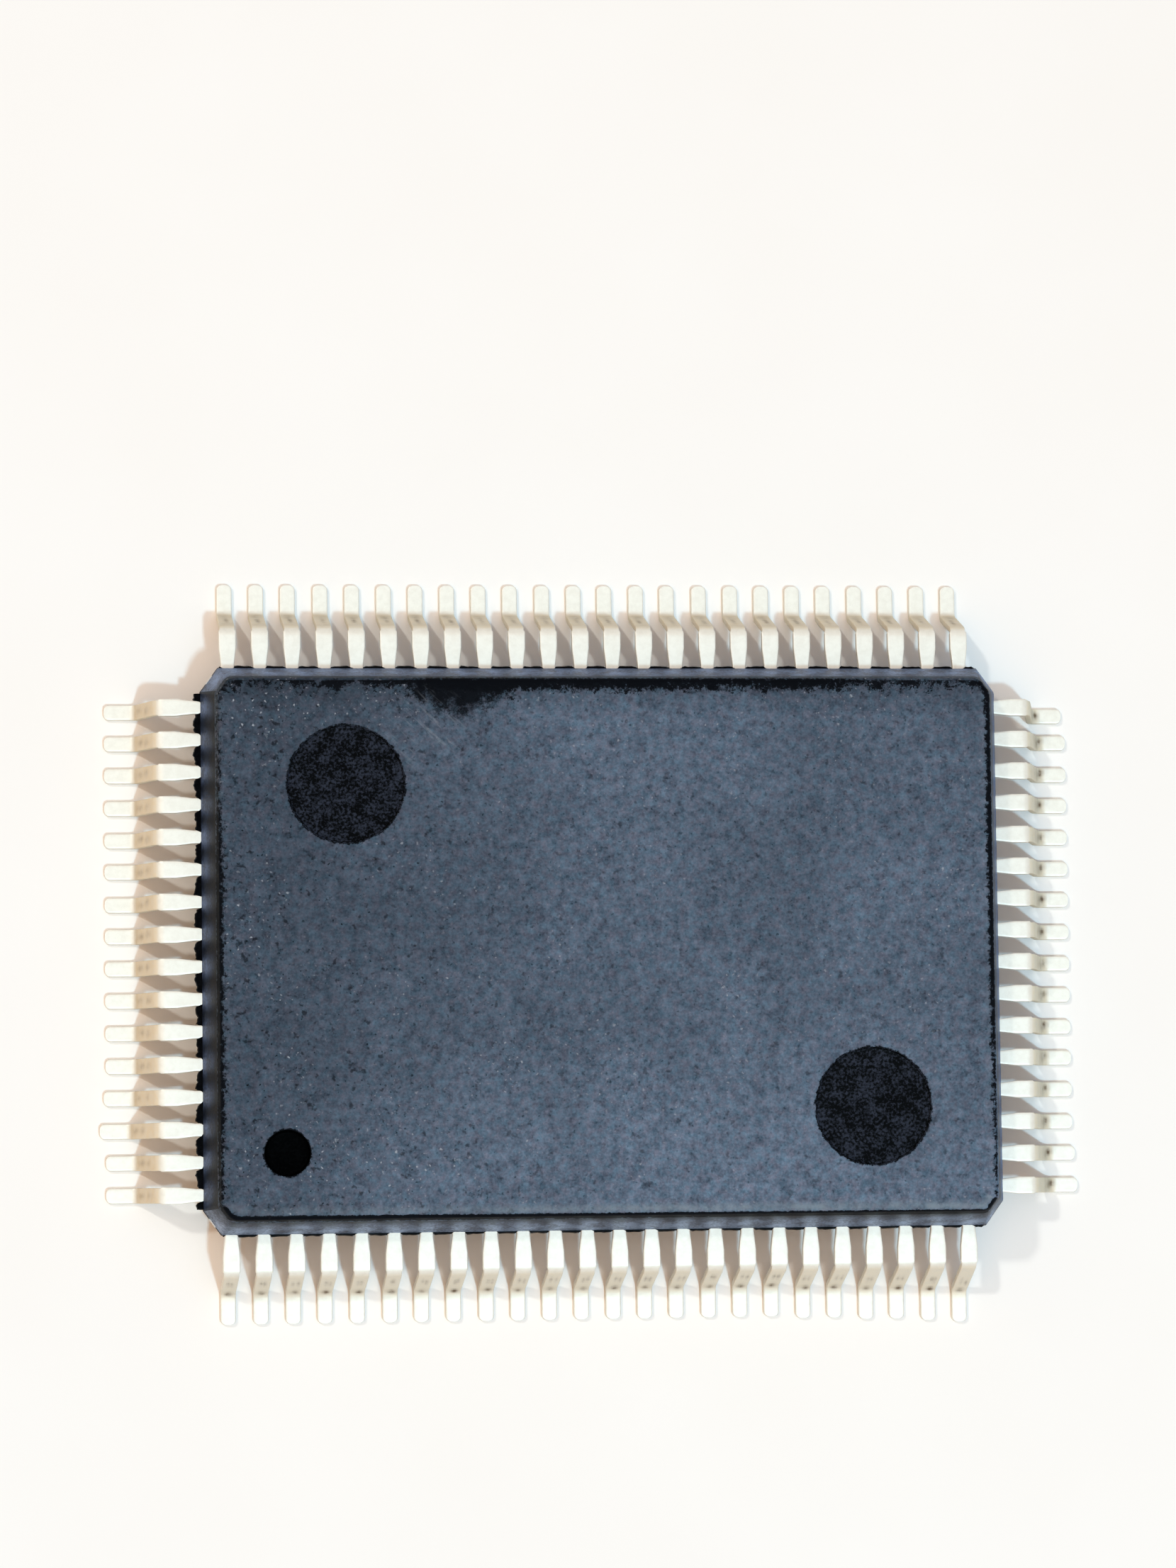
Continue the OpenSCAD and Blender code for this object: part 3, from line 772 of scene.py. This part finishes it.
def buildBody():
    upInset, upHeight, upBands = bodyLevels()
    sheet = lead["thick"] / 2
    sheetInset = sheet * body["draftInset"] / bodyHalf[2]
    inset = np.concatenate([upInset[::-1], [sheetInset, 0.0, sheetInset], upInset])
    height = np.concatenate([-upHeight[::-1], [-sheet, 0.0, sheet], upHeight])
    bands = upBands[::-1] + ["resin"] * 4 + upBands
    outline, facing, corner, share = bodyOutlines(inset)
    middle = len(upInset)
    ledge = resinLedge(outline[middle + 1], facing, corner, share)
    outline[middle:middle + 3] += ledge[None, :, None] * facing[None]
    levels, around = outline.shape[:2]
    heights = np.broadcast_to(partingZ + height[:, None, None], (levels, around, 1))
    points = [np.concatenate([outline, heights], axis=2).reshape(-1, 3)]
    # attributes: painted highlight, painted edge shade with the mark rims, painted light and shade of the
    # wall, and its painted cast
    extra = np.zeros((4, levels, around))
    along = alongRow(outline[middle], facing)
    slanted = inset[:, None] + body["edgeShadeSlant"] * along[None] * (facing[:, 1] < -0.5)
    slanted = slanted + bySide(facing, body["edgeShadeShift"])
    # painted highlight along the inside of the top edges
    extra[0] = np.interp(slanted, body["edgeHighlightAt"], body["edgeHighlightShare"]) * bySide(facing, body["edgeHighlight"])
    # painted shade along the edges of the top face, on each side
    edgeShadeAndRim = {}
    for side, values in body["edgeShadeAndRim"].items():
        strength = np.interp(along, *zip(*body["edgeShadeAlong"][side]))
        edgeShadeAndRim[side] = np.interp(slanted, body["edgeShadeAt"], values) * strength
    extra[1] = bySide(facing, edgeShadeAndRim)
    # painted light and shade of the walls, per side and up the wall
    lightAndShadeUp = {
        side: np.interp(inset, body["wallLightAndShadeAt"], values)[:, None]
        for side, values in body["wallLightAndShadeUp"].items()
    }
    # painted reflection of each lead's shoulder on the wall above it
    shoulderReflection = bySide(facing, body["leadShoulderReflection"]) * np.cos(2 * np.pi * along / lead["pitch"])
    extra[2] = bySide(facing, lightAndShadeUp) * bySide(facing, body["wallLightAndShade"]) * (1 - shoulderReflection)
    extra[3] = bySide(facing, body["wallCool"])
    extra = [extra.reshape(4, -1)]
    faces, faceKind = [], []
    # no black resin shows between the leads on the right
    resin = np.where(facing[:, 0] > 0.9, finishes["wall"], finishes["resin"])
    for level, band in enumerate(bands):
        faces += ringFaces(level * around, (level + 1) * around, around).tolist()
        faceKind += resin.tolist() if band == "resin" else [finishes[band]] * around
    # marks on the top face, each a grid round its centre
    sectors = body["markSteps"]
    turn = np.linspace(0, 2 * np.pi, sectors, endpoint=False)
    base = levels * around
    holeStarts = []
    marks = [(place, body["ejectorSize"], "ejector") for place in body["ejectors"]]
    marks.append((body["dimple"], body["dimpleSize"], "dimple"))
    for (x, y), (radius, depth, floorRound, hollow), finish in marks:
        ringR, ringZ = markRings(radius, depth, floorRound, hollow)
        rings = len(ringR)
        grid = np.stack(
            [
                x + ringR[:, None] * np.cos(turn),
                y + ringR[:, None] * np.sin(turn),
                np.broadcast_to(bodyHigh[2] + ringZ[:, None], (rings, sectors)),
            ],
            axis=2,
        )
        centre = np.array([[x, y, bodyHigh[2] - depth - hollow]])
        points += [grid.reshape(-1, 3), centre]
        markExtra = np.zeros((4, rings * sectors + 1))
        markExtra[1, sectors:] = body["markPolish"]
        extra.append(markExtra)
        holeStarts.append(base)
        for ring in range(rings - 1):
            faces += ringFaces(base + ring * sectors, base + (ring + 1) * sectors, sectors).tolist()
            faceKind += [finishes["grain" if ring == 0 else finish]] * sectors
        last = base + (rings - 1) * sectors
        step = np.arange(sectors)
        fan = np.stack([last + step, last + (step + 1) % sectors, np.full(sectors, last + sectors)], axis=1)
        faces += fan.tolist()
        faceKind += [finishes[finish]] * sectors
        base += rings * sectors + 1
    points = np.concatenate(points)
    # flat of the top face between its rim and the marks, and the plain underside
    rimTop = (levels - 1) * around
    rings = [np.arange(rimTop, rimTop + around)] + [np.arange(s, s + sectors) for s in holeStarts]
    topFaces = fillFlat(points, rings)
    underside = fillFlat(points, [np.arange(around)])[:, ::-1]
    faces += topFaces.tolist() + underside.tolist()
    faceKind += [finishes["grain"]] * (len(topFaces) + len(underside))
    materials = [
        grainedCompound(bodyHigh[2], bodyHigh[1] - body["draftInset"]),
        polishedCompound("tornResin"),
        wallCompound(),
        polishedCompound("ejectorMark"),
        polishedCompound("dimple"),
    ]
    attributes = dict(zip(("edgeHighlight", "edgeShadeAndRim", "wallLightAndShade", "wallCool"), np.concatenate(extra, axis=1)))
    return addPiece(
        "mouldedBody", points, faces, materials, faceKind, body["sharpAngle"],
        ["moulded_body"], attributes,
    )


bodyPiece = buildBody()
print("moulded body:", len(bodyPiece.data.polygons), "faces")


# Leads: a rounded strip carried along the formed path, eight to a group


def leadPath(reach):
    # Middle line of each lead as distance out from the wall, height and angle of fall: level inside the body
    # and on the shoulder, an arc down, the slope, an arc back to level, the foot. One row for each lead.
    flatZ = lead["thick"] / 2
    radius = lead["bendRound"] + flatZ
    tip = lead["standOut"] + reach
    heel = tip - lead["foot"]
    slope = np.arctan2(partingZ - flatZ, heel - lead["shoulder"])
    tangent = radius * np.tan(slope / 2)
    bendOut = lead["shoulder"] - tangent
    heelOut = heel + tangent
    neck, dam = lead["neckLength"], lead["damFrom"]
    widening = [(2 * neck + dam) / 3, (neck + 2 * dam) / 3]
    level = [-lead["rootStraight"], 0.0, neck, *widening, dam, dam + lead["damStep"]]
    shoulderOut = np.concatenate([np.ones_like(reach) * np.array(level), bendOut], axis=1)
    share = np.linspace(0, 1, lead["bendSteps"] + 1)[None, :]
    upperOut = bendOut + radius * np.sin(slope * share[:, 1:])
    upperZ = partingZ - radius + radius * np.cos(slope * share[:, 1:])
    lowerOut = heelOut - radius * np.sin(slope * (1 - share))
    lowerZ = flatZ + radius - radius * np.cos(slope * (1 - share))
    between = np.linspace(0, 1, lead["slopeSteps"] + 1)[None, 1:-1]
    slopeOut = upperOut[:, -1:] + (lowerOut[:, :1] - upperOut[:, -1:]) * between
    slopeZ = upperZ[:, -1:] + (lowerZ[:, :1] - upperZ[:, -1:]) * between
    footStart = tip - lead["tipRound"]
    footOut = heelOut + (footStart - heelOut) * np.linspace(0, 1, lead["footSteps"] + 1)[None, 1:]
    tipTurn = np.linspace(0, math.pi / 2, lead["tipSteps"] + 1)[None, 1:]
    tipOut = footStart + lead["tipRound"] * np.sin(tipTurn)
    out = np.concatenate([shoulderOut, upperOut, slopeOut, lowerOut, footOut, tipOut], axis=1)
    z = np.concatenate(
        [
            np.full_like(shoulderOut, partingZ), upperZ, slopeZ, lowerZ,
            np.full_like(footOut, flatZ), np.full_like(tipOut, flatZ),
        ],
        axis=1,
    )
    fall = np.concatenate(
        [
            np.zeros_like(shoulderOut), slope * share[:, 1:], slope * np.ones_like(slopeOut),
            slope * (1 - share), np.zeros_like(footOut), np.zeros_like(tipOut),
        ],
        axis=1,
    )
    return out, z, fall, heel, tip


def stripSection():
    # A rounded rectangle as shares of the half width and half thickness plus unit arcs; the top corners have
    # the larger radius, and the top face has points between its corners to carry the painted dark
    # reflections.
    rollPoints, topPoints = lead["rollPoints"], lead["topPoints"]
    quarter = math.pi / 2
    arc = np.linspace(0, quarter, rollPoints)
    between = np.linspace(1, -1, topPoints + 2)[1:-1]
    turn = np.concatenate([arc, np.full(topPoints, quarter)] + [arc + k * quarter for k in (1, 2, 3)])
    shareAcross = np.concatenate([np.ones(rollPoints), between, np.repeat([-1, -1, 1], rollPoints)])
    shareUp = np.concatenate([np.ones(2 * rollPoints + topPoints), -np.ones(2 * rollPoints)])
    roll = np.where(shareUp > 0, lead["rollTop"], lead["rollBottom"])
    return np.cos(turn), np.sin(turn), shareAcross, shareUp, roll


def buildLeads(side, group, material, wander, reflectionJitter):
    count = lead["counts"][side]
    place = group * lead["group"] + np.arange(lead["group"])
    rowPlace = (place - (count - 1) / 2)[:, None]
    skew = wander[side][place][:, None].copy()
    reach = np.zeros_like(skew)
    for bentSide, fromEnd, shift, further in lead["bent"]:
        here = (bentSide == side) & (place == count - 1 - fromEnd)
        skew[here] += shift
        reach[here] += further
    out, z, fall, heel, tip = leadPath(reach)
    # the inner end fans towards the die
    root = lead["rootStraight"]
    depth = lead["walls"][side] - lead["tipWalls"][side]
    inner = np.linspace(-depth, -root, lead["innerSteps"] + 1)[None, :-1] * np.ones_like(reach)
    out = np.concatenate([inner, out], axis=1)
    z = np.concatenate([np.full_like(inner, partingZ), z], axis=1)
    fall = np.concatenate([np.zeros_like(inner), fall], axis=1)
    # half width from the stamped outline: inner taper, stub of the dam bar, rounded corners of the tip
    half, stub, neck = lead["width"] / 2, lead["damStub"], lead["neckWidth"] / 2
    damEnd = lead["damFrom"] + lead["damLength"]
    knots = [-depth, -root, lead["neckLength"], lead["damFrom"], damEnd - stub, damEnd]
    widths = [lead["tipWidth"] / 2, neck, neck, half + stub, half + stub, half]
    halfWidth = np.interp(out, knots, widths)
    tipRound = lead["tipRound"]
    pastCorner = np.clip(out - (tip - tipRound), 0, tipRound)
    halfWidth = halfWidth - tipRound + np.sqrt(tipRound**2 - pastCorner**2)
    fan = rowPlace * (lead["tipPitch"] - lead["pitch"])
    inward = np.clip((-out - root) / (depth - root), 0, 1)
    outward = np.clip((out - damEnd) / (heel - damEnd), 0, 1)
    along = rowPlace * lead["pitch"] + fan * inward + skew * outward
    # the section's corner at each station: across the lead, and up from its middle plane
    cosTurn, sinTurn, shareAcross, shareUp, roll = stripSection()
    across = shareAcross * (halfWidth[..., None] - roll) + roll * cosTurn
    upward = shareUp * (lead["thick"] / 2 - roll) + roll * sinTurn
    u = along[..., None] + across
    v = lead["walls"][side] + out[..., None] + upward * np.sin(fall)[..., None]
    height = z[..., None] + upward * np.cos(fall)[..., None]
    x, y = u, -v
    for quarter in range(side):
        x, y = -y, x
    points = np.stack([x, y, height], axis=-1)
    number, stations, corners = points.shape[:3]
    starts = np.arange(number) * stations * corners
    ring = np.concatenate([ringFaces(s * corners, (s + 1) * corners, corners) for s in range(stations - 1)])
    quads = (starts[:, None, None] + ring[None]).reshape(-1, 4)[:, ::-1]
    capIn = starts[:, None] + np.arange(corners)[None]
    capOut = capIn[:, ::-1] + (stations - 1) * corners
    faces = quads.tolist() + capIn.tolist() + capOut.tolist()
    # tarnish and painted reflection of the floor from the upper bend to the heel, fading in and out
    fadeIn, fadeOut = lead["tarnishAndReflectionFade"]
    rise = np.clip((out - lead["shoulder"] + lead["tarnishAndReflectionStart"][side]) / fadeIn, 0, 1)
    drop = np.clip((heel + lead["tarnishAndReflectionEnd"][side] - out) / fadeOut, 0, 1)
    tarnishAndReflection = lead["tarnishAndReflectionShare"][side] * rise * drop
    tarnishAndReflection = np.broadcast_to(tarnishAndReflection[..., None], points.shape[:3])
    # painted dark reflections on the upper face: bell-shaped spots that stray a little from lead to lead
    strayAcross, strayOut, strayStrength = lead["darkReflectionStray"]
    darkReflection = np.zeros(points.shape[:3])
    for spot, uneven in zip(lead["darkReflections"][side], reflectionJitter[side][:, place]):
        fromHeel, sideways, length, width, strength = spot
        lengthwise = ((out - heel - fromHeel - strayOut * uneven[:, 1:2]) / length)[..., None] ** 2
        crosswise = ((across - sideways - strayAcross * uneven[:, 0, None, None]) / width) ** 2
        darkReflection += strength * (1 + strayStrength * uneven[:, 2, None, None]) * np.exp(-lengthwise - crosswise)
    darkReflection = np.clip(darkReflection, 0, 1) * (upward > 0)
    name = lead["sides"][side]
    return addPiece(
        f"{name}Leads{group + 1}", points.reshape(-1, 3), faces, [material], np.zeros(len(faces)),
        lead["sharpAngle"], [f"{name}_leads_{group + 1}"],
        {"tarnishAndReflection": tarnishAndReflection, "darkReflection": darkReflection},
    )


leadPlate = solderPlate()
rng = np.random.default_rng(lead["seed"])
wanders = [rng.uniform(-lead["wander"], lead["wander"], count) for count in lead["counts"]]
# random stray of the painted dark reflections from lead to lead
reflectionJitter = [rng.uniform(-1, 1, (len(spots), count, 3)) for spots, count in zip(lead["darkReflections"], lead["counts"])]
leadPieces = [
    buildLeads(side, group, leadPlate, wanders, reflectionJitter)
    for side, count in enumerate(lead["counts"])
    for group in range(count // lead["group"])
]
print("leads:", len(leadPieces), "groups,", sum(len(p.data.polygons) for p in leadPieces), "faces")


# Pieces inside the moulding keep their solids and get their finishes

innerFinishes = {
    "die_pad": innerMetal("rolledAlloy"),
    "die_attach": innerMetal("silverAdhesive"),
    "die": polishedSilicon(),
}
goldFinish = innerMetal("drawnGold")
for nodeName, solid in frame["nodes"].items():
    finish = goldFinish if "bond_wires" in nodeName else innerFinishes.get(nodeName)
    if finish:
        solid.data.materials.clear()
        solid.data.materials.append(finish)
print("inner pieces dressed")


# Floor, light and camera

floor = {
    "half": 600.0,
    "colour": (0.935, 0.93, 0.905),
    "shade": (0.925, 0.915, 0.885),
    "mottle": 6.0,
    "roughness": 0.9,
    "gleam": 0.1,
}


def buildFloor():
    mesh = bpy.data.meshes.new("floor")
    reach = floor["half"] * mm
    corners = [(-reach, -reach, 0), (reach, -reach, 0), (reach, reach, 0), (-reach, reach, 0)]
    mesh.from_pydata(corners, [], [(0, 1, 2, 3)])
    material, tree, shader = newMaterial(
        "palePaper", Roughness=floor["roughness"], Specular_IOR_Level=floor["gleam"]
    )
    mottle = noiseOf(tree, objectPlace(tree), floor["mottle"], 3.0)
    colour = rampOf(tree, mottle, ((0.3, floor["shade"]), (0.7, floor["colour"])))
    tree.links.new(colour, shader.inputs["Base Color"])
    mesh.materials.append(material)
    plane = bpy.data.objects.new("floor", mesh)
    bpy.context.scene.collection.objects.link(plane)


lamps = {
    "key": {"place": (50.0, -104.0, 300.0), "watts": 0.45, "size": 22.0, "colour": (0.49, 0.81, 1.0)},
    "fill": {"place": (-165.0, 135.0, 300.0), "watts": 0.275, "size": 22.0, "colour": (1.0, 1.0, 0.94)},
}

sky = {
    "strength": 2.5,
    # height of the direction (0 horizon, 1 overhead), brightness
    "stops": ((0.0, 0.11), (0.5, 0.16), (0.75, 0.4), (0.88, 0.82), (0.95, 1.05), (1.0, 1.15)),
    "warmColour": (2.12, 1.24, 0.61),  # from the front left
    "coolColour": (0.70, 1.0, 1.32),  # from the rear right
    "coolWay": (0.86, 0.5, 0.0),
    "coolSpan": (-0.7, 0.7),  # warm to cool along that way
    "surround": (0.97, 0.955, 0.92),  # the pale studio, where it is seen directly or mirrored
}


def buildLight():
    for name, lamp in lamps.items():
        light = bpy.data.lights.new(name, "AREA")
        light.shape = "DISK"
        light.size = lamp["size"] * mm
        light.energy = lamp["watts"]
        light.color = lamp["colour"]
        holder = bpy.data.objects.new(name, light)
        holder.location = Vector(lamp["place"]) * mm
        holder.rotation_euler = (-holder.location).to_track_quat("-Z", "Y").to_euler()
        bpy.context.scene.collection.objects.link(holder)
    world = bpy.data.worlds.new("softSky")
    bpy.context.scene.world = world
    world.use_nodes = True
    tree = world.node_tree
    # light of the sky: brighter overhead, warm on one side and cool on the other
    way = addNode(tree, "TexCoord").outputs["Generated"]
    direction = addNode(tree, "SeparateXYZ", Vector=way)
    stops = [(height, (level / sky["strength"],) * 3) for height, level in sky["stops"]]
    level = rampOf(tree, direction.outputs["Z"], stops)
    turned = addNode(tree, "VectorMath", {"operation": "DOT_PRODUCT"})
    tree.links.new(way, turned.inputs[0])
    turned.inputs[1].default_value = sky["coolWay"]
    cool = rangeOf(tree, turned.outputs["Value"], *sky["coolSpan"])
    tint = mixOf(tree, cool, sky["warmColour"], sky["coolColour"])
    background = tree.nodes["Background"]
    tree.links.new(mixOf(tree, 1.0, level, tint, "MULTIPLY"), background.inputs["Color"])
    background.inputs["Strength"].default_value = sky["strength"]
    # the plain surround that the camera, metal and gloss see
    rays = addNode(tree, "LightPath")
    seen = mathOf(tree, "MAXIMUM", rays.outputs["Is Camera Ray"], rays.outputs["Is Glossy Ray"])
    seen = mathOf(tree, "MAXIMUM", seen, rays.outputs["Is Transmission Ray"])
    surround = addNode(tree, "Background", Color=(*sky["surround"], 1))
    either = addNode(tree, "MixShader")
    tree.links.new(seen, either.inputs[0])
    tree.links.new(background.outputs[0], either.inputs[1])
    tree.links.new(surround.outputs[0], either.inputs[2])
    tree.links.new(either.outputs[0], tree.nodes["World Output"].inputs["Surface"])


view = {  # fitted to the lead rows and the edges of the body in the photograph
    "eye": (-17.2076, -5.8899, 129.1422),
    "aim": (-0.0495, 4.2051, 0.0),
    "roll": 0.7165,
    "lens": 119.126,
    "sensor": 36,
    "nearest": 5.0,
}


def buildCamera():
    # forward from eye to aim, upright to +Y, then rolled about the line of sight
    camera = bpy.data.cameras.new("camera")
    camera.lens = view["lens"]
    camera.sensor_width = view["sensor"]
    camera.clip_start = view["nearest"] * mm
    holder = bpy.data.objects.new("camera", camera)
    eye = Vector(view["eye"]) * mm
    back = (eye - Vector(view["aim"]) * mm).normalized()
    right = Vector((0, 1, 0)).cross(back).normalized()
    up = back.cross(right)
    upright = Matrix((right, up, back)).transposed().to_4x4()
    roll = Matrix.Rotation(math.radians(-view["roll"]), 4, "Z")
    holder.matrix_world = Matrix.Translation(eye) @ upright @ roll
    bpy.context.scene.collection.objects.link(holder)
    bpy.context.scene.camera = holder


buildFloor()
buildLight()
buildCamera()
bpy.context.scene.view_settings.view_transform = "Standard"
print("floor, light and camera in place")
